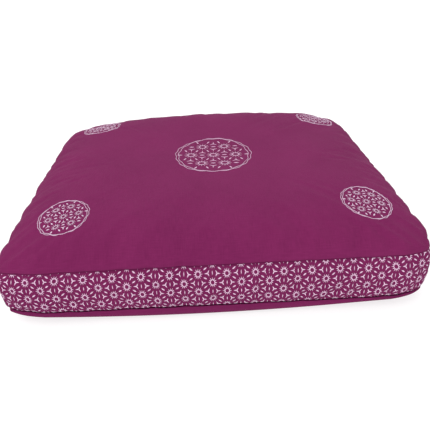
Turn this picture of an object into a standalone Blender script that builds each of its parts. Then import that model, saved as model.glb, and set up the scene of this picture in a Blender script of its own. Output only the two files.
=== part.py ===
"""Zabuton: a boxed floor cushion, a little wider than deep, stuffed full, made of a plain top
panel, a printed side band and a plain bottom panel. Run with: blender --background --python part.py

Metres, +Z up. The origin is on the floor under the middle of the cushion, the front edge is at -Y,
and the cushion lies on its bottom panel. The cushion is one filled form that its two seams divide:
each panel's solid holds the filling behind it, and neighbours meet in a flat plane at the seam.
"""

import math
from collections import namedtuple

import bmesh
import bpy

# Sizes along the seams, and heights above the floor
SEAM_WIDTH = 0.650
SEAM_DEPTH = 0.552
BOTTOM_SEAM_HEIGHT = 0.018
TOP_SEAM_HEIGHT = 0.090
SEAM_GAP = 0.0003

# The crown that the filling gives the top panel
CROWN_HEIGHT = 0.0605
CROWN_FLATNESS = 4.7
CROWN_SHOULDER = 0.58
CROWN_LEAN = 0.13
SEAM_ROLL = 0.003

# How far the side band swells out past the seams, and how square that swelling is
BAND_SWELL = 0.007
SWELL_SQUARENESS = 0.75

# The bottom panel lies flat up to its contact reach, rolls under and lifts off the floor towards
# its seam, most of all at the corners
UNDER_SWELL = 0.004
UNDER_TUCK = 0.010
CONTACT_REACH = 0.90
EDGE_LIFT = 0.004
CORNER_LIFT = 0.008

# Corners rounded in plan: a higher power keeps the rounding closer to the corner
CORNER_POWER = 8
CORNER_ROUNDING = 1.1

# Tucks where the cloth is drawn in along a seam
TUCK_DEPTH = 0.0022
TUCK_REACH = 0.030
TUCK_FADE_POWER = 10
DRIFT = 0.9
DRIFT_RATE = 2.3

Side = namedtuple("Side", "name out_x out_y tucks phase")
SIDES = (
    Side("front", 0, -1, 13, 0.4),
    Side("right", 1, 0, 10, 1.7),
    Side("back", 0, 1, 13, 2.9),
    Side("left", -1, 0, 11, 4.2),
)

# Cells across the cushion and up each panel's edge
CELLS = 48
CELLS_UP_TOP_EDGE = 1
CELLS_UP_BAND = 6
CELLS_UP_BOTTOM_EDGE = 3
RIM_CROWDING = 0.12

HALF_WIDTH = SEAM_WIDTH / 2
HALF_DEPTH = SEAM_DEPTH / 2

# Colours in linear RGB
PLUM = (0.223, 0.027, 0.117)
PRINTED_PLUM = (0.330, 0.090, 0.215)


def clear_scene():
    for obj in list(bpy.data.objects):
        bpy.data.objects.remove(obj)


def new_collection(name):
    collection = bpy.data.collections.new(name)
    bpy.context.scene.collection.children.link(collection)
    return collection


def cloth_material(name, colour, roughness):
    material = bpy.data.materials.new(name)
    material.use_nodes = True
    shader = material.node_tree.nodes["Principled BSDF"]
    shader.inputs["Base Color"].default_value = (*colour, 1.0)
    shader.inputs["Roughness"].default_value = roughness
    shader.inputs["Metallic"].default_value = 0.0
    return material


def crowded(t):
    """Moves the grid lines a little towards the rim, where the cushion curves most."""
    return t * (1 + RIM_CROWDING * (1 - t * t))


def rounded(u, v):
    """The place in plan, from -1 to 1 each way, of a point of the square grid, with round corners.
    Within the contact reach nothing is moved, so the flat underside is an exact rectangle."""
    cornering = max(0.0, (u * v) ** CORNER_POWER - CONTACT_REACH ** (2 * CORNER_POWER))
    pull = CORNER_ROUNDING / (2 * CORNER_POWER + 1) * cornering
    return u * (1 - pull), v * (1 - pull)


def tucks(u, v):
    """How far the cloth is drawn in at this place, from -1 to 1, fading away from each seam."""
    total = 0.0
    for side in SIDES:
        reach = u * side.out_x + v * side.out_y
        along = v * side.out_x - u * side.out_y
        half = HALF_WIDTH if side.out_x else HALF_DEPTH
        distance = (1 - reach) * half
        near = math.exp(-((distance / TUCK_REACH) ** 2))
        drift = DRIFT * math.sin(DRIFT_RATE * along + side.phase)
        wave = math.sin(math.pi * side.tucks * along + side.phase + drift)
        total += near * wave * (1 - along**TUCK_FADE_POWER)
    return total


def in_plan(u, v, outward):
    """The place in plan in metres, moved out from the seam line by outward."""
    x, y = rounded(u, v)
    return x * (HALF_WIDTH + outward), y * (HALF_DEPTH + outward)


def crown(u, v):
    """Height of the top panel over its seam. The filling lies a little fuller towards the back."""
    across = (1 - abs(u) ** CROWN_FLATNESS) ** CROWN_SHOULDER
    along = (1 - abs(v) ** CROWN_FLATNESS) ** CROWN_SHOULDER
    return CROWN_HEIGHT * across * along * (1 + CROWN_LEAN * v)


def lift(u, v):
    """Height of the bottom panel over the floor: none in the middle, most at the corners."""
    past_u = max(0.0, abs(u) - CONTACT_REACH) / (1 - CONTACT_REACH)
    past_v = max(0.0, abs(v) - CONTACT_REACH) / (1 - CONTACT_REACH)
    return EDGE_LIFT * max(past_u, past_v) + CORNER_LIFT * past_u * past_v


def on_top_panel(u, v, up):
    """up is 1 on the outside of the panel and 0 on the seam's plane."""
    drawn = tucks(u, v)
    x, y = in_plan(u, v, -TUCK_DEPTH * (1 + drawn) / 2)
    rim = SEAM_ROLL + crown(u, v) - TUCK_DEPTH * drawn * min(1.0, crown(u, v) / TUCK_REACH)
    return x, y, TOP_SEAM_HEIGHT + up * rim


def on_side_band(u, v, up):
    """up runs from 0 at the bottom seam to 1 at the top seam."""
    at_seam = (2 * up - 1) ** 2
    swell = BAND_SWELL * math.sin(math.pi * up) ** SWELL_SQUARENESS if 0 < up < 1 else 0.0
    x, y = in_plan(u, v, swell - TUCK_DEPTH * (1 + tucks(u, v)) / 2 * at_seam)
    height = TOP_SEAM_HEIGHT - BOTTOM_SEAM_HEIGHT - SEAM_GAP
    return x, y, BOTTOM_SEAM_HEIGHT + up * height


def on_bottom_panel(u, v, up):
    """up runs from 0 on the floor side to 1 on the seam's plane."""
    at_seam = up * up
    roll = UNDER_SWELL * math.sin(math.pi * up) - UNDER_TUCK * (1 - up) ** 2
    x, y = in_plan(u, v, roll - TUCK_DEPTH * (1 + tucks(u, v)) / 2 * at_seam)
    floor_side = lift(u, v)
    top = BOTTOM_SEAM_HEIGHT - SEAM_GAP
    return x, y, floor_side + up * (top - floor_side)


def cut_edges_along(bm, axis, cuts):
    """Cuts every edge of the box that runs along one axis into equal lengths."""
    edges = [
        edge
        for edge in bm.edges
        if abs(edge.verts[0].co[axis] - edge.verts[1].co[axis]) > 1.0
    ]
    if cuts:
        bmesh.ops.subdivide_edges(bm, edges=edges, cuts=cuts, use_grid_fill=True)


def panel(name, place, cells_up, material, collection):
    """A box of even cells, each point of which is moved to its place on the stuffed cushion."""
    bm = bmesh.new()
    bmesh.ops.create_cube(bm, size=2.0)
    cut_edges_along(bm, 2, cells_up - 1)
    cut_edges_along(bm, 0, CELLS - 1)
    cut_edges_along(bm, 1, CELLS - 1)
    for vert in bm.verts:
        u, v = crowded(vert.co.x), crowded(vert.co.y)
        vert.co = place(u, v, (vert.co.z + 1) / 2)
    mesh = bpy.data.meshes.new(name)
    bm.to_mesh(mesh)
    bm.free()
    mesh.materials.append(material)
    mesh.shade_smooth()
    mesh.set_sharp_from_angle(angle=math.radians(50))
    obj = bpy.data.objects.new(name, mesh)
    collection.objects.link(obj)
    return obj


def build():
    clear_scene()
    cushion = new_collection("zabuton")
    plum_cloth = cloth_material("plum_cloth", PLUM, 0.85)
    printed_cloth = cloth_material("printed_cloth", PRINTED_PLUM, 0.85)
    panel("top_panel", on_top_panel, CELLS_UP_TOP_EDGE, plum_cloth, cushion)
    panel("side_band", on_side_band, CELLS_UP_BAND, printed_cloth, cushion)
    panel("bottom_panel", on_bottom_panel, CELLS_UP_BOTTOM_EDGE, plum_cloth, cushion)


build()
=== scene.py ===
"""Looks of the zabuton: a stuffed floor cushion of plum cotton, with embroidered roundels on
its top and a pale star print on its side band. Metres, +Z up, front edge at -Y.
"""

import math
from collections import namedtuple

import bmesh
import bpy
import numpy as np
from mathutils import Matrix, Vector


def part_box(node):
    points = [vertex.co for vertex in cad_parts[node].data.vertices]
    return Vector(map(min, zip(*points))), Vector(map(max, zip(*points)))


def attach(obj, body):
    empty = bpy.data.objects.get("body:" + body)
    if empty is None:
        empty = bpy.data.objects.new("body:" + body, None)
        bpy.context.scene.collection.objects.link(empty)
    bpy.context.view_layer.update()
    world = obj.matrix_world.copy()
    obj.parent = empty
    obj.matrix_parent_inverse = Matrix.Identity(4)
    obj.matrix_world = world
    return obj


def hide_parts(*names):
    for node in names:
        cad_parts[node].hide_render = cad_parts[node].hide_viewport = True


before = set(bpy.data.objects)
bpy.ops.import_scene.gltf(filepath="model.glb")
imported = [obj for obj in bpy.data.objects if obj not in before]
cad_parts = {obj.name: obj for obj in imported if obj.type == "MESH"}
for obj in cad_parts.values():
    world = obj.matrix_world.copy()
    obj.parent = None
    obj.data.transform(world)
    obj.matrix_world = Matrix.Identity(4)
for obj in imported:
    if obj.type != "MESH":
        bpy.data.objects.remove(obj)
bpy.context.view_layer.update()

# Sizes that the solids set
TOP_LOW, TOP_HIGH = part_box("top_panel")
_, BAND_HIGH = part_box("side_band")
_, UNDER_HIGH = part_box("bottom_panel")
HALF_WIDTH = (TOP_HIGH[0] - TOP_LOW[0]) / 2
HALF_DEPTH = (TOP_HIGH[1] - TOP_LOW[1]) / 2
TOP_SEAM = TOP_LOW[2]
BOTTOM_SEAM = UNDER_HIGH[2]
SOLID_CROWN = TOP_HIGH[2] - TOP_LOW[2]
SOLID_SWELL = BAND_HIGH[0] - TOP_HIGH[0]

# The crown of the top panel, as the solid has it
CROWN_RISE = 0.0605
CROWN_FLATNESS = 4.7
CROWN_SHOULDER = 0.58
CROWN_LEAN = 0.13

# The corners in plan, less rounded than the solids', and least of all at the front left
CORNER_POWER = 8
CORNER_ROUNDING = 1.0
FRONT_LEFT_ROUNDING = 0.76

# The band swells less than the solid, and more squarely
SWELL_SHARE = 0.62
BAND_SWELL = SWELL_SHARE * SOLID_SWELL
SWELL_SQUARENESS = 0.60

# The underside rolls up past its contact reach, less than the solid, and also rises over a wide
# stretch along its edges towards each corner
CONTACT_REACH = 0.90
EDGE_LIFT = 0.004
CORNER_LIFT = 0.003
UNDER_SWELL = 0.0015
UNDER_TUCK = 0.003
WIDE_LIFT = 0.013
WIDE_LIFT_POWER = 8

# How the seams wander from their lines. Both are drawn in halfway along the left and right sides.
# The top one bows up halfway along each side and rises at the front corners. The bottom one lies a
# little higher than the solids', slopes down to the right and curls up at the corners.
SIDE_DRAW = 0.004
SEAM_BOW = 0.007
FRONT_CORNER_RISE = 0.0055
BOTTOM_RISE = 0.0025
BOTTOM_TILT = 0.0018
BOTTOM_CURL = 0.005

# Where two panels meet, each rolls in to the seam, by these sizes and shares of them
TOP_ROLL = 0.0010
BAND_ROLL = 0.0007
ROLL_INWARD = (0.10, 0.35, 0.75, 1.15, 1.80)
ROLL_DOWN = (0.45, 0.80, 0.97, 1.00, 1.00)

# The fine grid that the cloth is made on
CELLS = 176
BAND_ROWS = 16
UNDER_ROWS = 8
RIM_CROWDING = 0.12

# Number of the rim's point that is halfway along the front
FRONT_MIDDLE = CELLS // 2

# Camera, as the photograph shows the cushion
CAMERA_PLACE = (-0.0231, -0.8111, 0.4952)
CAMERA_HEADING = math.radians(2.10)
CAMERA_PITCH = math.radians(30.56)
CAMERA_ROLL = math.radians(-1.68)
FOCAL_PIXELS = 466.0
PHOTO_PIXELS = 430
SENSOR = 36.0

# Colours in linear RGB
PLUM = (0.196, 0.0180, 0.095)
PLUM_DEEP = (0.137, 0.0102, 0.066)
INK = (0.80, 0.56, 0.74)
INK_WORN = (0.52, 0.24, 0.42)
THREAD = (0.88, 0.70, 0.86)
THREAD_GROOVE_SHADE = (0.66, 0.44, 0.62)
FLOOR = (0.30, 0.30, 0.30)
FLOOR_GLOW = 0.75


def crowded(t):
    """Grid lines a little closer together towards the rim, where the cloth curves most."""
    return t * (1 + RIM_CROWDING * (1 - t * t))


LINES = crowded(np.linspace(-1, 1, CELLS + 1))


def rounded(u, v):
    """The place in plan of a point of the square grid, with the cushion's round corners."""
    cornering = np.clip((u * v) ** CORNER_POWER - CONTACT_REACH ** (2 * CORNER_POWER), 0, None)
    rounding = np.where((u < 0) & (v < 0), FRONT_LEFT_ROUNDING, CORNER_ROUNDING)
    pull = rounding / (2 * CORNER_POWER + 1) * cornering
    return u * (1 - pull), v * (1 - pull)


def in_plan(u, v, outward):
    x, y = rounded(u, v)
    return x * (HALF_WIDTH + outward - SIDE_DRAW * (1 - v * v)), y * (HALF_DEPTH + outward)


# Tucks: soft troughs that start at a seam, where the cloth is drawn in

Tuck = namedtuple("Tuck", "side along width depth reach slant")
TUCK_SPACING = 0.047
TUCK_WIDTH = 0.011
TUCK_DEPTH = 0.0034
TUCK_REACH = 0.034
SMOOTH_FRONT = 0.45
SIDES = {"front": (0, -1), "right": (1, 0), "back": (0, 1), "left": (-1, 0)}

# How tucks differ from one another, as shares of the sizes above. A slant is a slope in plan.
TUCK_SEED = 7
FIRST_PLACES = (0.5, 1.0)
LAST_PLACE = 0.4
SPACINGS = (0.62, 1.38)
WIDTHS = (0.7, 1.3)
DEPTHS = (0.35, 1.0)
REACHES = (0.6, 1.6)
SLANT_SPREAD = 0.22

# Away from its seam a tuck widens and fades. On the top it sinks by a share of its depth, which it
# reaches at a share of the crown's height, and on the band it fades by a power.
TUCK_WIDENING = 0.6
TUCK_FADE_POWER = 1.5
TUCK_SINK = 0.9
FULL_SINK_HEIGHT = 0.25
BAND_FADE_POWER = 3


def make_tucks():
    rng = np.random.default_rng(TUCK_SEED)
    tucks = []
    for side, (out_x, _) in SIDES.items():
        half = HALF_DEPTH if out_x else HALF_WIDTH
        depth = TUCK_DEPTH * (SMOOTH_FRONT if side == "front" else 1.0)
        place = -half + rng.uniform(*FIRST_PLACES) * TUCK_SPACING
        while place < half - LAST_PLACE * TUCK_SPACING:
            tuck = Tuck(
                side,
                along=place,
                width=TUCK_WIDTH * rng.uniform(*WIDTHS),
                depth=depth * rng.uniform(*DEPTHS),
                reach=TUCK_REACH * rng.uniform(*REACHES),
                slant=rng.normal(0, SLANT_SPREAD),
            )
            tucks.append(tuck)
            place += TUCK_SPACING * rng.uniform(*SPACINGS)
    return tucks


TUCKS = make_tucks()


def drawn_in(u, v):
    """How far, in metres, the tucks draw the cloth in at each point of the grid."""
    x, y = u * HALF_WIDTH, v * HALF_DEPTH
    total = np.zeros(np.broadcast(u, v).shape)
    for tuck in TUCKS:
        out_x, out_y = SIDES[tuck.side]
        along = y * out_x - x * out_y
        half = HALF_WIDTH if out_x else HALF_DEPTH
        inward = half - (x * out_x + y * out_y)
        offset = along - tuck.along - tuck.slant * inward
        width = tuck.width * (1 + TUCK_WIDENING * inward / tuck.reach)
        fade = np.exp(-((inward / tuck.reach) ** TUCK_FADE_POWER))
        total += tuck.depth * fade * np.exp(-((offset / width) ** 2))
    return total


# Lumps of the filling and soft folds of the top panel

Fullness = namedtuple("Fullness", "x y wide deep height")
FULL_PLACES = (
    Fullness(0.040, 0.195, 0.190, 0.090, 0.0098),
    Fullness(-0.225, 0.235, 0.055, 0.050, -0.0045),
    Fullness(0.275, 0.235, 0.055, 0.050, 0.0045),
)
LUMP_SEED = 3
LUMP_COUNT = 14
LUMP_HEIGHT = 0.0007
LUMP_LENGTHS = (0.09, 0.24)

# Across, a fold is a trough between two low lips. Headings are in degrees.
FOLD_LIP = 0.5
FOLD_FALL = 1.6
FOLD_END_POWER = 4
Fold = namedtuple("Fold", "x y heading length width depth")
FOLDS = (
    Fold(-0.272, 0.168, 96, 0.110, 0.011, 0.0024),
    Fold(-0.246, 0.195, 84, 0.085, 0.012, 0.0018),
    Fold(-0.290, 0.120, 88, 0.095, 0.010, 0.0014),
    Fold(0.165, -0.055, -28, 0.120, 0.014, 0.0010),
    Fold(-0.105, -0.008, 2, 0.060, 0.008, 0.0010),
    Fold(0.118, 0.000, 4, 0.080, 0.008, 0.0011),
    Fold(-0.296, -0.180, 70, 0.060, 0.010, 0.0014),
    Fold(0.275, 0.185, 118, 0.080, 0.012, 0.0014),
)


def fullness(x, y):
    """Broad places where the filling is fuller or thinner. It lies fullest towards the back."""
    total = np.zeros(x.shape)
    for full in FULL_PLACES:
        away = ((x - full.x) / full.wide) ** 2 + ((y - full.y) / full.deep) ** 2
        total += full.height * np.exp(-away)
    return total


def lumps(x, y):
    rng = np.random.default_rng(LUMP_SEED)
    total = np.zeros(x.shape)
    for _ in range(LUMP_COUNT):
        heading = rng.uniform(0, math.pi)
        length = rng.uniform(*LUMP_LENGTHS)
        phase = rng.uniform(0, 2 * math.pi)
        along = x * math.cos(heading) + y * math.sin(heading)
        total += np.sin(2 * math.pi * along / length + phase)
    return LUMP_HEIGHT * total / math.sqrt(LUMP_COUNT / 2)


def folds(x, y):
    total = np.zeros(x.shape)
    for fold in FOLDS:
        heading = math.radians(fold.heading)
        dx, dy = x - fold.x, y - fold.y
        along = dx * math.cos(heading) + dy * math.sin(heading)
        across = (dy * math.cos(heading) - dx * math.sin(heading)) / fold.width
        fade = np.exp(-((2 * along / fold.length) ** FOLD_END_POWER))
        trough = (1 - FOLD_LIP * across**2) * np.exp(-(across**2) / FOLD_FALL)
        total -= fold.depth * fade * trough
    return total


# The three panels as functions of the square grid

def crown(u, v):
    """Height of the top over its seam."""
    across = np.clip(1 - np.abs(u) ** CROWN_FLATNESS, 0, 1) ** CROWN_SHOULDER
    along = np.clip(1 - np.abs(v) ** CROWN_FLATNESS, 0, 1) ** CROWN_SHOULDER
    return CROWN_RISE * across * along * (1 + CROWN_LEAN * v)


def bow(u, v):
    """0 at the corners and in the middle, 1 halfway along each side."""
    return u * u * (1 - v * v) + v * v * (1 - u * u)


def top_seam(u, v):
    return TOP_SEAM + SEAM_BOW * bow(u, v) + FRONT_CORNER_RISE * u * u * (1 - v) / 2


def bottom_seam(u, v):
    curl = BOTTOM_CURL * np.abs(u * v) ** CORNER_POWER
    return BOTTOM_SEAM + BOTTOM_RISE - BOTTOM_TILT * u + curl


def top_surface(u, v):
    drawn = drawn_in(u, v)
    x, y = in_plan(u, v, -drawn)
    height = crown(u, v)
    share = np.clip(height / SOLID_CROWN, 0, 1)
    uneven = share * (fullness(x, y) + lumps(x, y) + folds(x, y))
    rise = height - TUCK_SINK * drawn * np.clip(share / FULL_SINK_HEIGHT, 0, 1) + uneven
    return np.stack([x, y, top_seam(u, v) + TOP_ROLL + rise], axis=-1)


def band_surface(u, v, up):
    """up runs from 0 at the bottom seam to 1 at the top seam."""
    at_seam = np.abs(2 * up - 1) ** BAND_FADE_POWER
    swell = BAND_SWELL * np.clip(np.sin(math.pi * up), 0, 1) ** SWELL_SQUARENESS
    x, y = in_plan(u, v, swell - drawn_in(u, v) * at_seam)
    low = bottom_seam(u, v) + BAND_ROLL
    high = top_seam(u, v) - BAND_ROLL
    return np.stack([x, y, low + up * (high - low)], axis=-1)


def lift(u, v):
    """Height of the underside over the floor."""
    past_u = np.clip(np.abs(u) - CONTACT_REACH, 0, None) / (1 - CONTACT_REACH)
    past_v = np.clip(np.abs(v) - CONTACT_REACH, 0, None) / (1 - CONTACT_REACH)
    near = EDGE_LIFT * np.maximum(past_u, past_v) ** 2 + CORNER_LIFT * past_u * past_v
    return near + WIDE_LIFT * (u * v) ** 2 * np.maximum(np.abs(u), np.abs(v)) ** WIDE_LIFT_POWER


def under_surface(u, v, up):
    """up runs from 0 on the floor side to 1 at the bottom seam."""
    roll = UNDER_SWELL * np.sin(math.pi * up) - UNDER_TUCK * (1 - up) ** 2
    x, y = in_plan(u, v, roll - drawn_in(u, v) * up * up)
    low = lift(u, v)
    high = bottom_seam(u, v) - BAND_ROLL
    return np.stack([x, y, low + up * (high - low)], axis=-1)


# Meshes from grids of points

# The share by which a panel's flat cloth grows with each ring past its rim
TOP_GROWTH = 0.004
BOTTOM_GROWTH = 0.006


def rim(grid):
    """The rim of a square grid, counter-clockwise from its front left corner."""
    return np.concatenate([grid[:-1, 0], grid[-1, :-1], grid[:0:-1, -1], grid[0, :0:-1]])


GRID_U, GRID_V = np.meshgrid(LINES, LINES, indexing="ij")
RIM_U, RIM_V = rim(GRID_U), rim(GRID_V)
RIM_COUNT = len(RIM_U)


def square_faces(index):
    """The cells of a square grid of point numbers, seen from above."""
    cells = np.stack([index[:-1, :-1], index[1:, :-1], index[1:, 1:], index[:-1, 1:]], axis=-1)
    return cells.reshape(-1, 4)


def ring_faces(rows):
    """The cells between rings of point numbers, each ring counter-clockwise, listed from low to high."""
    onward = np.roll(rows, -1, axis=1)
    cells = np.stack([rows[:-1], onward[:-1], onward[1:], rows[1:]], axis=-1)
    return cells.reshape(-1, 4)


def rolled_in(ring, size, down):
    """Rings that carry a panel's edge round and in to its seam. down is -1 for an upward roll."""
    outward = np.stack([RIM_U, RIM_V], axis=-1)
    outward = np.sign(outward) * np.abs(outward) ** CORNER_POWER
    outward /= np.linalg.norm(outward, axis=1, keepdims=True)
    rings = []
    for inward, drop in zip(ROLL_INWARD, ROLL_DOWN):
        moved = ring.copy()
        moved[:, :2] -= outward * size * inward
        moved[:, 2] -= down * size * drop
        rings.append(moved)
    return rings


def normals_of(grid):
    """Unit normals of a grid whose rows and columns turn anticlockwise seen from outside."""
    normals = np.cross(np.gradient(grid, axis=0), np.gradient(grid, axis=1))
    return normals / np.linalg.norm(normals, axis=-1, keepdims=True)


def new_object(name, points, faces, flat, material):
    """A smooth-shaded mesh whose UV map holds each point's place on the flat cloth or thread.
    Points and flat places are arrays, and faces are lists of point numbers."""
    mesh = bpy.data.meshes.new(name)
    mesh.from_pydata(points.tolist(), [], faces)
    layer = mesh.uv_layers.new(name="cloth")
    corners = np.empty(len(mesh.loops), dtype=np.int32)
    mesh.loops.foreach_get("vertex_index", corners)
    layer.data.foreach_set("uv", flat[corners].astype(np.float32).ravel())
    mesh.materials.append(material)
    mesh.shade_smooth()
    mesh.update()
    mesh.validate()
    obj = bpy.data.objects.new(name, mesh)
    bpy.context.scene.collection.objects.link(obj)
    return obj


def along_cloth(points):
    """Length along a row of points, from 0 at the first."""
    steps = np.linalg.norm(np.diff(points, axis=0), axis=1)
    return np.concatenate([[0.0], np.cumsum(steps)])


def around_band(rings):
    """Length round the band at half its height, from the front left corner and back to it."""
    middle = rings[BAND_ROWS // 2]
    return along_cloth(np.concatenate([middle, middle[:1]]))


def square_panel(name, surface, rolls, growth, faces_up, material):
    """A panel made of the square grid and of rings that carry its edge on to the seam. Its flat
    cloth grows by a share with each ring."""
    index = np.arange(GRID_U.size).reshape(GRID_U.shape)
    rolled = np.arange(len(rolls) * RIM_COUNT).reshape(-1, RIM_COUNT) + index.size
    rows = np.concatenate([[rim(index)], rolled])
    if faces_up:
        faces = np.concatenate([square_faces(index), ring_faces(rows[::-1])])
    else:
        faces = np.concatenate([square_faces(index)[:, ::-1], ring_faces(rows)])
    flat = np.stack([GRID_U * HALF_WIDTH, GRID_V * HALF_DEPTH], axis=-1)
    grown = [rim(flat) * (1 + growth * (number + 1)) for number in range(len(rolls))]
    points = np.concatenate([surface.reshape(-1, 3), *rolls])
    flat = np.concatenate([flat.reshape(-1, 2), *grown])
    return new_object(name, points, faces.tolist(), flat, material)


def top_panel(surface, material):
    rolls = rolled_in(rim(surface), TOP_ROLL, 1)
    return square_panel("top_cloth", surface, rolls, TOP_GROWTH, True, material)


def bottom_panel(surface, rings, material):
    rolls = [*rings[1:], *rolled_in(rings[-1], BAND_ROLL, -1)]
    return square_panel("bottom_cloth", surface, rolls, BOTTOM_GROWTH, False, material)


def side_band(rings, material):
    low = rolled_in(rings[0], BAND_ROLL, 1)[::-1]
    high = rolled_in(rings[-1], BAND_ROLL, -1)
    every = np.array([*low, *rings, *high])
    index = np.arange(every.shape[0] * RIM_COUNT).reshape(-1, RIM_COUNT)
    around, upward = around_band(rings)[:-1], along_cloth(every[:, FRONT_MIDDLE])
    flat = np.stack(np.broadcast_arrays(around[None, :], upward[:, None]), axis=-1)
    points, faces = every.reshape(-1, 3), ring_faces(index).tolist()
    return new_object("band_cloth", points, faces, flat.reshape(-1, 2), material)


# Creases: the cushion is blown up in Blender's cloth simulation, with a little more cloth along its
# seams than in its middle, and the fine part of what that does to the panels is kept

SIM_CELLS = 88
SIM_ROWS = 8
SIM_FRAMES = 18
SIM_QUALITY = 7
PRESSURE = 5.0
FULLNESS = 0.050
FULLNESS_REACH = 0.20
POINT_MASS = 0.2
STRETCHING = 20
SHEARING = 8
BENDING = 0.08
AIR_DAMPING = 4.0
SMOOTHING_ROUNDS = 26
CREASE_LIMIT = 0.0020
CREASE_SHARE = 0.85


def smoothed(values, closed_axis=None):
    """The broad part of a grid of heights, which may close on itself along one axis."""
    for _ in range(SMOOTHING_ROUNDS):
        for axis in (0, 1):
            if axis == closed_axis:
                before, after = np.roll(values, 1, axis), np.roll(values, -1, axis)
            else:
                edge = [(1, 1) if k == axis else (0, 0) for k in (0, 1)]
                wide = np.pad(values, edge, mode="edge")
                before = np.take(wide, range(values.shape[axis]), axis)
                after = np.take(wide, range(2, values.shape[axis] + 2), axis)
            values = 0.25 * before + 0.5 * values + 0.25 * after
    return values


def finer(values, places, axis, closed=False):
    """Values of a grid at fractional line numbers along one axis, by a cubic through four lines."""
    values = np.moveaxis(values, axis, 0)
    count = len(values)
    base = np.floor(places).astype(int)
    t = (places - base)[:, None]
    weights = (
        -0.5 * t + t**2 - 0.5 * t**3,
        1.0 - 2.5 * t**2 + 1.5 * t**3,
        0.5 * t + 2.0 * t**2 - 1.5 * t**3,
        -0.5 * t**2 + 0.5 * t**3,
    )
    total = 0.0
    for step, weight in enumerate(weights):
        lines = base - 1 + step
        lines = lines % count if closed else np.clip(lines, 0, count - 1)
        total = total + weight * values[lines]
    return np.moveaxis(total, 0, axis)


def blown_up(points, faces, pinned, taut):
    """The points after the cloth simulation. Pinned points stay, and taut ones have no spare cloth."""
    mesh = bpy.data.meshes.new("blown_up")
    mesh.from_pydata(points.tolist(), [], faces.tolist())
    obj = bpy.data.objects.new("blown_up", mesh)
    scene = bpy.context.scene
    scene.collection.objects.link(obj)
    pins = obj.vertex_groups.new(name="pins")
    pins.add(np.nonzero(pinned)[0].tolist(), 1.0, "REPLACE")
    tautness = obj.vertex_groups.new(name="taut")
    for number, weight in enumerate(taut.tolist()):
        tautness.add([number], weight, "REPLACE")
    cloth = obj.modifiers.new("cloth", "CLOTH")
    settings = cloth.settings
    settings.quality = SIM_QUALITY
    settings.mass = POINT_MASS
    settings.tension_stiffness = STRETCHING
    settings.compression_stiffness = STRETCHING
    settings.shear_stiffness = SHEARING
    settings.bending_stiffness = BENDING
    settings.air_damping = AIR_DAMPING
    settings.use_pressure = True
    settings.uniform_pressure_force = PRESSURE
    settings.vertex_group_mass = "pins"
    settings.vertex_group_shrink = "taut"
    settings.shrink_min = -FULLNESS
    settings.shrink_max = 0.0
    settings.effector_weights.gravity = 0.0
    cloth.collision_settings.use_collision = False
    cloth.point_cache.frame_start = 1
    cloth.point_cache.frame_end = SIM_FRAMES
    for number in range(1, SIM_FRAMES + 1):
        scene.frame_set(number)
    shaped = obj.evaluated_get(bpy.context.evaluated_depsgraph_get())
    flat = np.empty(len(points) * 3)
    shaped.data.vertices.foreach_get("co", flat)
    scene.frame_set(1)
    bpy.data.objects.remove(obj)
    bpy.data.meshes.remove(mesh)
    return flat.reshape(-1, 3)


def fine_part(heights, closed_axis=None):
    """Heights without their broad part, held between limits."""
    fine = CREASE_SHARE * (heights - smoothed(heights, closed_axis))
    return CREASE_LIMIT * np.tanh(fine / CREASE_LIMIT)


def outward_of(rings):
    """Unit normals of rings that close on themselves, out of the cushion."""
    closed = np.concatenate([rings[:, -1:], rings, rings[:, :1]], axis=1)
    return -normals_of(closed)[:, 1:-1]


def creases():
    """Heights that the simulation adds over the top panel's grid and over the band's rings."""
    lines = crowded(np.linspace(-1, 1, SIM_CELLS + 1))
    grid_u, grid_v = np.meshgrid(lines, lines, indexing="ij")
    rim_u, rim_v = rim(grid_u), rim(grid_v)
    top = top_surface(grid_u, grid_v)
    rings = np.array([band_surface(rim_u, rim_v, up) for up in np.linspace(0, 1, SIM_ROWS + 1)])
    under = under_surface(grid_u, grid_v, 0.0)
    points = np.concatenate([top.reshape(-1, 3), rings[:-1].reshape(-1, 3), under.reshape(-1, 3)])

    top_count, ring_count = grid_u.size, len(rim_u)
    band_end = top_count + SIM_ROWS * ring_count
    top_index = np.arange(top_count).reshape(grid_u.shape)
    band_index = np.arange(top_count, band_end).reshape(SIM_ROWS, ring_count)
    under_index = top_index + band_end
    rows = np.concatenate([[rim(under_index)], band_index, [rim(top_index)]])
    faces = np.concatenate([
        square_faces(top_index),
        ring_faces(rows),
        square_faces(under_index)[:, ::-1],
    ])

    pinned = np.zeros(len(points), dtype=bool)
    for held in (rim(top_index), band_index[0], under_index.ravel()):
        pinned[held] = True
    taut = np.zeros(len(points))
    from_rim = 1 - np.maximum(np.abs(grid_u), np.abs(grid_v))
    taut[:top_count] = np.clip(from_rim / FULLNESS_REACH, 0, 1).ravel()

    moved = blown_up(points, faces, pinned, taut) - points
    top_moved = np.sum(moved[:top_count].reshape(top.shape) * normals_of(top), axis=-1)
    band_moved = np.zeros(rings.shape)
    band_moved[:-1] = moved[top_count:band_end].reshape(SIM_ROWS, ring_count, 3)
    band_moved = np.sum(band_moved * outward_of(rings), axis=-1)
    return fine_part(top_moved), fine_part(band_moved, closed_axis=1)


def creased(top_points, band_rings, ups):
    """The panels with the creases of the simulation added."""
    on_top, on_band = creases()
    places = np.linspace(0, SIM_CELLS, CELLS + 1)
    raised = finer(finer(on_top, places, 0), places, 1)
    around = np.arange(RIM_COUNT) * len(on_band[0]) / RIM_COUNT
    swollen = finer(finer(on_band, ups * SIM_ROWS, 0), around, 1, closed=True)
    top_points = top_points + normals_of(top_points) * raised[..., None]
    return top_points, band_rings + outward_of(band_rings) * swollen[..., None]


# Placing flat patterns on the cloth

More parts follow.
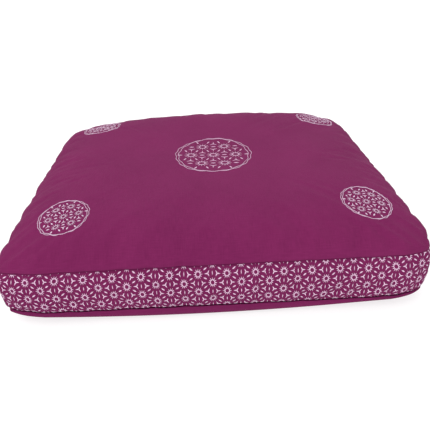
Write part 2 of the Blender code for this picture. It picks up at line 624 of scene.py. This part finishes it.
def between(rows, columns, grid):
    """Values of a grid at fractional row and column numbers."""
    row = np.clip(rows.astype(int), 0, grid.shape[0] - 2)
    column = np.clip(columns.astype(int), 0, grid.shape[1] - 2)
    a, b = (rows - row)[:, None], (columns - column)[:, None]
    near = grid[row, column] * (1 - b) + grid[row, column + 1] * b
    far = grid[row + 1, column] * (1 - b) + grid[row + 1, column + 1] * b
    return near * (1 - a) + far * a


class TopSheet:
    """Carries points from the flat top panel, in metres, to the stuffed one."""

    def __init__(self, surface):
        self.surface = surface
        self.normals = normals_of(surface)

    def place(self, x, y, proud):
        numbers = np.arange(len(LINES))
        rows = np.interp(x / HALF_WIDTH, LINES, numbers)
        columns = np.interp(y / HALF_DEPTH, LINES, numbers)
        points = between(rows, columns, self.surface)
        return points + between(rows, columns, self.normals) * proud[:, None]


class BandSheet:
    """Carries points from the flat band to the stuffed one: x runs around it, y up it."""

    def __init__(self, rings):
        normals = outward_of(rings)
        self.surface = np.concatenate([rings, rings[:, :1]], axis=1)
        self.normals = np.concatenate([normals, normals[:, :1]], axis=1)
        self.around = around_band(rings)
        self.upward = along_cloth(rings[:, FRONT_MIDDLE])

    def place(self, x, y, proud):
        columns = np.interp(x % self.around[-1], self.around, np.arange(len(self.around)))
        rows = np.interp(y, self.upward, np.arange(len(self.upward)))
        points = between(rows, columns, self.surface)
        return points + between(rows, columns, self.normals) * proud[:, None]


# Materials

SPECULAR_LEVEL = 0.08
SHEEN_ROUGHNESS = 0.45


class Cloth:
    """A material under construction. Its calls add nodes, and most return the last one's output."""

    def __init__(self, name, roughness, sheen, sheen_tint):
        self.material = bpy.data.materials.new(name)
        self.material.use_nodes = True
        self.tree = self.material.node_tree
        self.shader = self.tree.nodes["Principled BSDF"]
        self.shader.inputs["Roughness"].default_value = roughness
        self.shader.inputs["Specular IOR Level"].default_value = SPECULAR_LEVEL
        self.shader.inputs["Sheen Weight"].default_value = sheen
        self.shader.inputs["Sheen Roughness"].default_value = SHEEN_ROUGHNESS
        self.shader.inputs["Sheen Tint"].default_value = (*sheen_tint, 1.0)
        uv = self.tree.nodes.new("ShaderNodeUVMap")
        uv.uv_map = "cloth"
        split = self.tree.nodes.new("ShaderNodeSeparateXYZ")
        self.tree.links.new(uv.outputs["UV"], split.inputs[0])
        self.x, self.y = split.outputs["X"], split.outputs["Y"]

    def feed(self, socket, value):
        """Links an output to a socket, or sets a plain value on it."""
        if isinstance(value, bpy.types.NodeSocket):
            self.tree.links.new(value, socket)
        else:
            socket.default_value = value

    def math(self, operation, *values):
        node = self.tree.nodes.new("ShaderNodeMath")
        node.operation = operation
        for socket, value in zip(node.inputs, values):
            self.feed(socket, value)
        return node.outputs[0]

    def noise(self, across, along, detail=2.0):
        """Noise between 0 and 1 whose grains are across by along metres on the flat cloth."""
        place = self.tree.nodes.new("ShaderNodeCombineXYZ")
        self.feed(place.inputs["X"], self.math("MULTIPLY", self.x, 1 / across))
        self.feed(place.inputs["Y"], self.math("MULTIPLY", self.y, 1 / along))
        node = self.tree.nodes.new("ShaderNodeTexNoise")
        node.inputs["Scale"].default_value = 1.0
        node.inputs["Detail"].default_value = detail
        self.tree.links.new(place.outputs[0], node.inputs["Vector"])
        return node.outputs["Fac"]

    def range(self, value, low, high, to_low=0.0, to_high=1.0):
        node = self.tree.nodes.new("ShaderNodeMapRange")
        for socket, setting in zip(node.inputs, (value, low, high, to_low, to_high)):
            self.feed(socket, setting)
        return node.outputs[0]

    def mix(self, factor, first, second):
        node = self.tree.nodes.new("ShaderNodeMix")
        node.data_type = "RGBA"
        self.feed(node.inputs[0], factor)
        for socket, colour in zip(node.inputs[6:8], (first, second)):
            self.feed(socket, (*colour, 1.0) if isinstance(colour, tuple) else colour)
        return node.outputs[2]

    def weave(self, pitch):
        """A plain weave: bumps that alternate like a draughtboard, from -1 to 1."""
        across = self.math("SINE", self.math("MULTIPLY", self.x, math.pi / pitch))
        along = self.math("SINE", self.math("MULTIPLY", self.y, math.pi / pitch))
        return self.math("MULTIPLY", across, along)

    def bump(self, height, distance):
        node = self.tree.nodes.new("ShaderNodeBump")
        node.inputs["Distance"].default_value = distance
        self.tree.links.new(height, node.inputs["Height"])
        self.tree.links.new(node.outputs[0], self.shader.inputs["Normal"])

    def colour(self, output):
        self.tree.links.new(output, self.shader.inputs["Base Color"])


# The cotton's yarns, with their slubs, and broad patches where the dye took unevenly
WEAVE_PITCH = 0.00055
WEAVE_SHARE = 0.35
SLUB_WIDTH = 0.0013
SLUB_LENGTH = 0.016
SLUB_RANGE = (0.6, 1.4)
PATCH_SIZE = 0.11
PATCH_RANGE = (0.3, 0.7)
PATCH_SHARE = 0.5
DYE_SHARE = 0.66
COTTON_RELIEF = 0.00028

# The ink's worn grains, and the patches where they are more or less worn
GRAIN_SIZE = 0.0009
GRAIN_RANGE = (0.52, 0.70)
FADING_SIZE = 0.035
FADING_RANGE = (0.35, 0.75)
FADING_SHARES = (0.25, 0.85)
INK_RELIEF = 0.00010

# The twist of the thread, with painted shade in the grooves between its plies
STITCH_PITCH = 0.0011
PLY_SLANT = 0.30
GROOVE_SHADE_RANGE = (-1.0, 0.4)
THREAD_RELIEF = 0.00022


def plum_cotton(name):
    cloth = Cloth(name, roughness=0.88, sheen=0.02, sheen_tint=(0.95, 0.70, 0.88))
    warp = cloth.noise(SLUB_WIDTH, SLUB_LENGTH)
    weft = cloth.noise(SLUB_LENGTH, SLUB_WIDTH)
    slubs = cloth.math("ADD", warp, weft)
    patches = cloth.noise(PATCH_SIZE, PATCH_SIZE, detail=3.0)
    uneven = cloth.range(patches, *PATCH_RANGE, 0.0, PATCH_SHARE)
    shade = cloth.math("ADD", cloth.range(slubs, *SLUB_RANGE), uneven)
    cloth.colour(cloth.mix(cloth.math("MULTIPLY", shade, DYE_SHARE), PLUM_DEEP, PLUM))
    weave = cloth.math("MULTIPLY", cloth.weave(WEAVE_PITCH), WEAVE_SHARE)
    cloth.bump(cloth.math("ADD", weave, slubs), COTTON_RELIEF)
    return cloth.material


def printing_ink(name):
    cloth = Cloth(name, roughness=0.82, sheen=0.10, sheen_tint=(1.0, 0.95, 1.0))
    worn = cloth.range(cloth.noise(GRAIN_SIZE, GRAIN_SIZE, detail=3.0), *GRAIN_RANGE)
    faded = cloth.range(cloth.noise(FADING_SIZE, FADING_SIZE), *FADING_RANGE, *FADING_SHARES)
    cloth.colour(cloth.mix(cloth.math("MULTIPLY", worn, faded), INK, INK_WORN))
    cloth.bump(cloth.weave(WEAVE_PITCH), INK_RELIEF)
    return cloth.material


def embroidery_thread(name):
    cloth = Cloth(name, roughness=0.46, sheen=0.25, sheen_tint=(1.0, 0.95, 1.0))
    stitches = cloth.math("DIVIDE", cloth.x, STITCH_PITCH)
    slant = cloth.math("ADD", stitches, cloth.math("MULTIPLY", cloth.y, PLY_SLANT))
    ply = cloth.math("SINE", cloth.math("MULTIPLY", slant, 2 * math.pi))
    # Painted shade: the thread's colour darkens where the twist's bump is low, in the grooves between
    # plies
    cloth.colour(cloth.mix(cloth.range(ply, *GROOVE_SHADE_RANGE), THREAD_GROOVE_SHADE, THREAD))
    cloth.bump(ply, THREAD_RELIEF)
    return cloth.material


# The print: suns on a hexagonal lattice, with lozenges between neighbours and three-pointed darts
# in the gaps, all drawn out a little up the band

SUN_SPACING = 0.0242
SUN_HOLE = 0.0028
SUN_BODY = 0.0040
SUN_SCALLOP = 0.86
RAY_COUNT = 12
RAY_REACH = (0.0071, 0.0065)
RAY_WIDTH = 0.0012
LOZENGE_LENGTH = 0.0062
LOZENGE_WIDTH = 0.0020
SLENDER_WIDTH = 0.0013
DART_REACH = 0.0048
DART_WIDTH = 0.0017
PRINT_STRETCH = 1.26
PRINT_MARGIN = 0.0006
PRINT_PROUD = 0.00022

# Along the band the lattice drifts up and down a little
PRINT_DRIFT = 0.0024
DRIFT_WAVES = 2
DRIFT_PHASE = 0.6

# Where a ray starts, how blunt a leaf's ends are, and where the leaves are widest, as shares
RAY_START = 0.9
LEAF_BLUNTNESS = 0.35
RAY_WIDEST = 0.06
LOZENGE_WIDEST = 0.12
DART_WIDEST = 0.30


def polar(cx, cy, radius, angle):
    return cx + radius * math.cos(angle), cy + radius * math.sin(angle)


def sun(cx, cy):
    """A ring with a scalloped outside, and twelve rays, as flat polygons."""
    steps = 2 * RAY_COUNT
    shapes = []
    for step in range(steps):
        first, last = 2 * math.pi * step / steps, 2 * math.pi * (step + 1) / steps
        first_body = SUN_BODY * (1.0 if step % 2 == 0 else SUN_SCALLOP)
        last_body = SUN_BODY * (SUN_SCALLOP if step % 2 == 0 else 1.0)
        ends = ((SUN_HOLE, first), (first_body, first), (last_body, last), (SUN_HOLE, last))
        shapes.append([polar(cx, cy, radius, angle) for radius, angle in ends])
    for ray in range(RAY_COUNT):
        angle = 2 * math.pi * ray / RAY_COUNT
        start, end = SUN_BODY * RAY_START, RAY_REACH[ray % 2]
        shapes.append(leaf(cx, cy, angle, start, end, RAY_WIDTH, RAY_WIDEST))
    return shapes


def leaf(cx, cy, angle, start, end, width, widest):
    """A pointed strip along a direction, widest at a share of its length."""
    ux, uy = math.cos(angle), math.sin(angle)
    middle = start + (end - start) * widest
    half = width / 2
    blunt = LEAF_BLUNTNESS * half
    outline = [(start, -blunt), (middle, -half), (end, 0.0), (middle, half), (start, blunt)]
    return [(cx + a * ux - b * uy, cy + a * uy + b * ux) for a, b in outline]


def lozenge(cx, cy, angle, width=LOZENGE_WIDTH):
    """A slender lozenge along the line between two suns."""
    ends = (angle, angle + math.pi)
    return [leaf(cx, cy, end, 0.0, LOZENGE_LENGTH / 2, width, LOZENGE_WIDEST) for end in ends]


def dart(cx, cy, turn):
    """Three arms that point at the three suns around a gap."""
    return [
        leaf(cx, cy, turn + 2 * math.pi * arm / 3, 0.0, DART_REACH, DART_WIDTH, DART_WIDEST)
        for arm in range(3)
    ]


def star_print(length, height):
    """The flat print of a strip that closes on itself. Every other column is half a step up."""
    column_count = 2 * round(length / (SUN_SPACING * math.sqrt(3)))
    column_step = length / column_count
    shapes = []
    for column in range(column_count):
        x = column * column_step
        drift = PRINT_DRIFT * math.sin(2 * math.pi * DRIFT_WAVES * x / length + DRIFT_PHASE)
        for row in range(-1, math.ceil(height / SUN_SPACING) + 2):
            y = (row + 0.5 * (column % 2)) * SUN_SPACING + drift
            shapes += sun(x, y)
            for angle in (-math.pi / 6, math.pi / 6):
                shapes += lozenge(*polar(x, y, SUN_SPACING / 2, angle), angle)
            shapes += lozenge(x, y + SUN_SPACING / 2, math.pi / 2, SLENDER_WIDTH)
            shapes += dart(x + column_step * 2 / 3, y, math.pi)
            shapes += dart(x - column_step * 2 / 3, y, 0.0)
    return shapes


def flat_mesh(shapes, low, high):
    """The shapes as one mesh, cut off below low and above high."""
    bm = bmesh.new()
    for corners in shapes:
        bm.faces.new([bm.verts.new((x, y, 0.0)) for x, y in corners])
    for level, normal in ((low, -1.0), (high, 1.0)):
        bmesh.ops.bisect_plane(
            bm,
            geom=bm.verts[:] + bm.edges[:] + bm.faces[:],
            plane_co=(0.0, level, 0.0),
            plane_no=(0.0, normal, 0.0),
            clear_outer=True,
        )
    bmesh.ops.triangulate(bm, faces=bm.faces[:])
    return bm


def band_print(sheet, material):
    length, height = sheet.around[-1], sheet.upward[-1] / PRINT_STRETCH
    shapes = star_print(length, height)
    bm = flat_mesh(shapes, PRINT_MARGIN, height - PRINT_MARGIN)
    bm.verts.index_update()
    flat = np.array([vert.co[:2] for vert in bm.verts]) * (1.0, PRINT_STRETCH)
    faces = [[vert.index for vert in face.verts] for face in bm.faces]
    bm.free()
    points = sheet.place(flat[:, 0], flat[:, 1], np.full(len(flat), PRINT_PROUD))
    return new_object("band_print", points, faces, flat, material)


# The embroidery: each line is a raised thread that lies on the top panel

STITCH_STEP = 0.0014
FEWEST_POINTS = 5
THREAD_WIDTH = 0.00100
THREAD_HEIGHT = 0.00050

# The thread's section, as shares of half its width and of its height. Its flat side is sunk in the
# cloth.
SECTION = ((-1.0, -0.5), (-0.85, 0.45), (-0.35, 0.95), (0.35, 0.95), (0.85, 0.45), (1.0, -0.5))

Roundel = namedtuple("Roundel", "name x y radius turn")
MIDDLE_X, MIDDLE_Y = 0.0065, -0.0090
MIDDLE_RADIUS, CORNER_RADIUS = 0.0728, 0.0406
ROUNDELS = (
    Roundel("roundel_middle", MIDDLE_X, MIDDLE_Y, MIDDLE_RADIUS, -0.05),
    Roundel("roundel_front_left", -0.2325, -0.1915, CORNER_RADIUS, 0.20),
    Roundel("roundel_front_right", 0.2380, -0.1880, CORNER_RADIUS, -0.12),
    Roundel("roundel_back_left", -0.2280, 0.1690, CORNER_RADIUS, 0.05),
    Roundel("roundel_back_right", 0.2400, 0.1710, CORNER_RADIUS, 0.30),
)

# Sizes within a roundel, as shares of its radius
Ring = namedtuple("Ring", "middle swing waves phase ripples")
RINGS = (Ring(0.972, 0.012, 5, 0.4, 19), Ring(0.930, 0.034, 2, 4.5, 15))
RIPPLE = 0.013
MOTIF_SPACING = 0.575
MOTIF_LIMIT = 0.87
EYE_RADIUS = 0.083
EYE_SCALLOP = 0.012
ROUNDEL_RAY = (0.100, 0.172)
ROUNDEL_LOZENGE = 0.125
ROUNDEL_DART = 0.105
ANGLES = np.linspace(0, 2 * math.pi, 300, endpoint=False)

# A stitched line of a roundel: its points, whether it closes on itself, how its width runs along
# it, and its greatest width as a share of the thread's
Stitching = namedtuple("Stitching", "points closed profile width")
EVEN, TAPERED, POINTED = "even", "tapered", "pointed"
RING_STITCH = 0.9
EYE_STITCH = 1.25
RAY_STITCH = 1.0
LOZENGE_STITCH = 2.6
DART_STITCH = 2.0

# The width at the ends of a tapered line and at the tip of a pointed one, as shares
TAPERED_END = 0.18
POINTED_END = 0.22


def looped(radius):
    """A closed line around the middle, from its radius at each angle."""
    return np.stack([radius * np.cos(ANGLES), radius * np.sin(ANGLES)], axis=-1)


def stroke(cx, cy, angle, start, end):
    return np.array([polar(cx, cy, start, angle), polar(cx, cy, end, angle)])


def roundel_stitching():
    """A roundel of unit radius: the print's suns, lozenges and darts inside two wavy rings."""
    lines = []
    for ring in RINGS:
        wander = ring.swing * np.sin(ring.waves * ANGLES + ring.phase)
        line = looped(ring.middle + wander + RIPPLE * np.sin(ring.ripples * ANGLES))
        lines.append(Stitching(line, True, EVEN, RING_STITCH))
    eye = looped(EYE_RADIUS + EYE_SCALLOP * np.cos(RAY_COUNT * ANGLES))
    centres = [(0.0, 0.0)] + [polar(0.0, 0.0, MOTIF_SPACING, math.pi * k / 3) for k in range(6)]
    lozenges, darts = {}, {}
    for cx, cy in centres:
        lines.append(Stitching(eye + (cx, cy), True, EVEN, EYE_STITCH))
        for ray in range(RAY_COUNT):
            line = stroke(cx, cy, 2 * math.pi * ray / RAY_COUNT, *ROUNDEL_RAY)
            lines.append(Stitching(line, False, POINTED, RAY_STITCH))
        for side in range(6):
            angle = math.pi * side / 3
            x, y = polar(cx, cy, MOTIF_SPACING / 2, angle)
            if math.hypot(x, y) < MOTIF_LIMIT:
                lozenges[round(x, 3), round(y, 3)] = angle
            x, y = polar(cx, cy, MOTIF_SPACING / math.sqrt(3), angle + math.pi / 6)
            if math.hypot(x, y) < MOTIF_LIMIT:
                darts[round(x, 3), round(y, 3)] = angle + math.pi / 6
    for (x, y), angle in lozenges.items():
        half = ROUNDEL_LOZENGE / 2
        lines.append(Stitching(stroke(x, y, angle, -half, half), False, TAPERED, LOZENGE_STITCH))
    for (x, y), angle in darts.items():
        for arm in range(3):
            line = stroke(x, y, angle + math.pi + 2 * math.pi * arm / 3, 0.0, ROUNDEL_DART)
            lines.append(Stitching(line, False, POINTED, DART_STITCH))
    return lines


def resample(points, closed, step):
    """The same line with even steps, and the length along it."""
    if closed:
        points = np.concatenate([points, points[:1]])
    length = along_cloth(points)
    count = max(FEWEST_POINTS, int(round(length[-1] / step)) + 1)
    places = np.linspace(0, length[-1], count)
    if closed:
        places = places[:-1]
    return np.stack([np.interp(places, length, points[:, k]) for k in (0, 1)], axis=-1), places


def width_along(profile, count):
    """The width of a line at even steps along it, as a share of its greatest."""
    t = np.linspace(0, 1, count)
    if profile == TAPERED:
        return TAPERED_END + (1 - TAPERED_END) * np.sin(math.pi * t)
    if profile == POINTED:
        return 1.0 - (1 - POINTED_END) * t
    return np.ones(count)


def thread(sheet, stitching, points):
    """Points, faces and UVs of one raised thread along a flat line on the top panel. The UVs run
    along it in metres and across it from -1 to 1."""
    closed = stitching.closed
    line, along = resample(points, closed, STITCH_STEP)
    if closed:
        ahead, behind = np.roll(line, -1, axis=0), np.roll(line, 1, axis=0)
    else:
        ahead, behind = np.concatenate([line[1:], line[-1:]]), np.concatenate([line[:1], line[:-1]])
    forward = ahead - behind
    forward /= np.linalg.norm(forward, axis=1, keepdims=True)
    side = np.stack([-forward[:, 1], forward[:, 0]], axis=-1)
    size = width_along(stitching.profile, len(line))
    rows = []
    for across, rise in SECTION:
        flat = line + side * (across * THREAD_WIDTH / 2 * stitching.width * size)[:, None]
        rows.append(sheet.place(flat[:, 0], flat[:, 1], rise * THREAD_HEIGHT * np.sqrt(size)))
    rows = np.array(rows)
    count = len(line)
    index = np.arange(rows.shape[0] * count).reshape(-1, count)
    rows_round = np.concatenate([index, index[:1]])
    if closed:
        rows_round = np.concatenate([rows_round, rows_round[:, :1]], axis=1)
    near, far = rows_round[:-1], rows_round[1:]
    cells = np.stack([near[:, :-1], near[:, 1:], far[:, 1:], far[:, :-1]], axis=-1)
    faces = cells.reshape(-1, 4).tolist()
    if not closed:
        faces.append(index[:, 0].tolist())
        faces.append(index[::-1, -1].tolist())
    places = np.array([place for place, _ in SECTION])
    flat = np.stack(np.broadcast_arrays(along[None, :], places[:, None]), axis=-1)
    return rows.reshape(-1, 3), faces, flat.reshape(-1, 2)


def roundel(sheet, spec, material):
    """All the threads of one roundel as one object, turned and placed on the top panel."""
    cosine, sine = math.cos(spec.turn), math.sin(spec.turn)
    turn = np.array([[cosine, -sine], [sine, cosine]])
    points, faces, flat = [], [], []
    count = 0
    for stitching in roundel_stitching():
        placed = (stitching.points * spec.radius) @ turn.T + (spec.x, spec.y)
        part_points, part_faces, part_flat = thread(sheet, stitching, placed)
        points.append(part_points)
        faces += [[corner + count for corner in face] for face in part_faces]
        flat.append(part_flat)
        count += len(part_points)
    return new_object(spec.name, np.concatenate(points), faces, np.concatenate(flat), material)


# Stage

FLOOR_REACH = 6.0
FLOOR_DROP = 0.0005
LIGHT_TARGET = Vector((0.0, 0.0, 0.08))


def make_floor():
    mesh = bpy.data.meshes.new("floor")
    bm = bmesh.new()
    bmesh.ops.create_grid(bm, x_segments=1, y_segments=1, size=FLOOR_REACH)
    bm.to_mesh(mesh)
    bm.free()
    floor = bpy.data.objects.new("floor", mesh)
    floor.location.z = -FLOOR_DROP
    bpy.context.scene.collection.objects.link(floor)
    material = bpy.data.materials.new("floor")
    material.use_nodes = True
    shader = material.node_tree.nodes["Principled BSDF"]
    shader.inputs["Base Color"].default_value = (*FLOOR, 1.0)
    shader.inputs["Roughness"].default_value = 0.9
    shader.inputs["Emission Color"].default_value = (1.0, 1.0, 1.0, 1.0)
    shader.inputs["Emission Strength"].default_value = FLOOR_GLOW
    mesh.materials.append(material)


def area_light(name, place, size, power, colour):
    light = bpy.data.lights.new(name, "AREA")
    light.shape = "DISK"
    light.size = size
    light.energy = power
    light.color = colour
    lamp = bpy.data.objects.new(name, light)
    lamp.location = place
    lamp.rotation_euler = (LIGHT_TARGET - Vector(place)).to_track_quat("-Z", "Y").to_euler()
    bpy.context.scene.collection.objects.link(lamp)


def light_studio():
    area_light("key", (-1.5, -0.9, 2.2), size=2.2, power=26, colour=(1.0, 0.99, 0.98))
    area_light("back", (0.6, 1.9, 1.7), size=2.0, power=14, colour=(1.0, 1.0, 1.0))
    area_light("front_fill", (0.7, -2.4, 1.0), size=2.0, power=6, colour=(1.0, 0.98, 0.99))
    world = bpy.data.worlds.new("studio")
    world.use_nodes = True
    background = world.node_tree.nodes["Background"]
    background.inputs["Color"].default_value = (1.0, 1.0, 1.0, 1.0)
    background.inputs["Strength"].default_value = 1.0
    bpy.context.scene.world = world


def place_camera():
    data = bpy.data.cameras.new("camera")
    data.sensor_width = SENSOR
    data.lens = FOCAL_PIXELS / PHOTO_PIXELS * SENSOR
    camera = bpy.data.objects.new("camera", data)
    heading, pitch = CAMERA_HEADING, CAMERA_PITCH
    level = math.cos(pitch)
    forward = Vector((math.sin(heading) * level, math.cos(heading) * level, -math.sin(pitch)))
    right = Vector((math.cos(heading), -math.sin(heading), 0.0))
    up = right.cross(forward)
    turned_right = right * math.cos(CAMERA_ROLL) + up * math.sin(CAMERA_ROLL)
    turned_up = up * math.cos(CAMERA_ROLL) - right * math.sin(CAMERA_ROLL)
    axes = Matrix((turned_right, turned_up, -forward)).transposed()
    camera.matrix_world = Matrix.Translation(CAMERA_PLACE) @ axes.to_4x4()
    bpy.context.scene.collection.objects.link(camera)
    bpy.context.scene.camera = camera


def build():
    place_camera()
    light_studio()
    make_floor()
    plum = plum_cotton("plum_cotton")
    printed = plum_cotton("printed_cotton")
    ink = printing_ink("printing_ink")
    lilac = embroidery_thread("embroidery_thread")

    top_points = top_surface(GRID_U, GRID_V)
    ups = (1 - np.cos(math.pi * np.linspace(0, 1, BAND_ROWS + 1))) / 2
    band_rings = np.array([band_surface(RIM_U, RIM_V, up) for up in ups])
    under_points = under_surface(GRID_U, GRID_V, 0.0)
    under_ups = np.linspace(0, 1, UNDER_ROWS + 1)
    under_rings = np.array([under_surface(RIM_U, RIM_V, up) for up in under_ups])
    top_points, band_rings = creased(top_points, band_rings, ups)

    top = top_panel(top_points, plum)
    band = side_band(band_rings, printed)
    under = bottom_panel(under_points, under_rings, plum)
    for piece, node, slot in (
        (top, "top_panel", "plum_cloth"),
        (band, "side_band", "printed_cloth"),
        (under, "bottom_panel", "plum_cloth"),
    ):
        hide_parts(node)
        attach(piece, "root")

    top_sheet = TopSheet(top_points)
    stars = band_print(BandSheet(band_rings), ink)
    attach(stars, "root")
    for spec in ROUNDELS:
        piece = roundel(top_sheet, spec, lilac)
        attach(piece, "root")


build()
bpy.context.scene.view_settings.view_transform = "Standard"
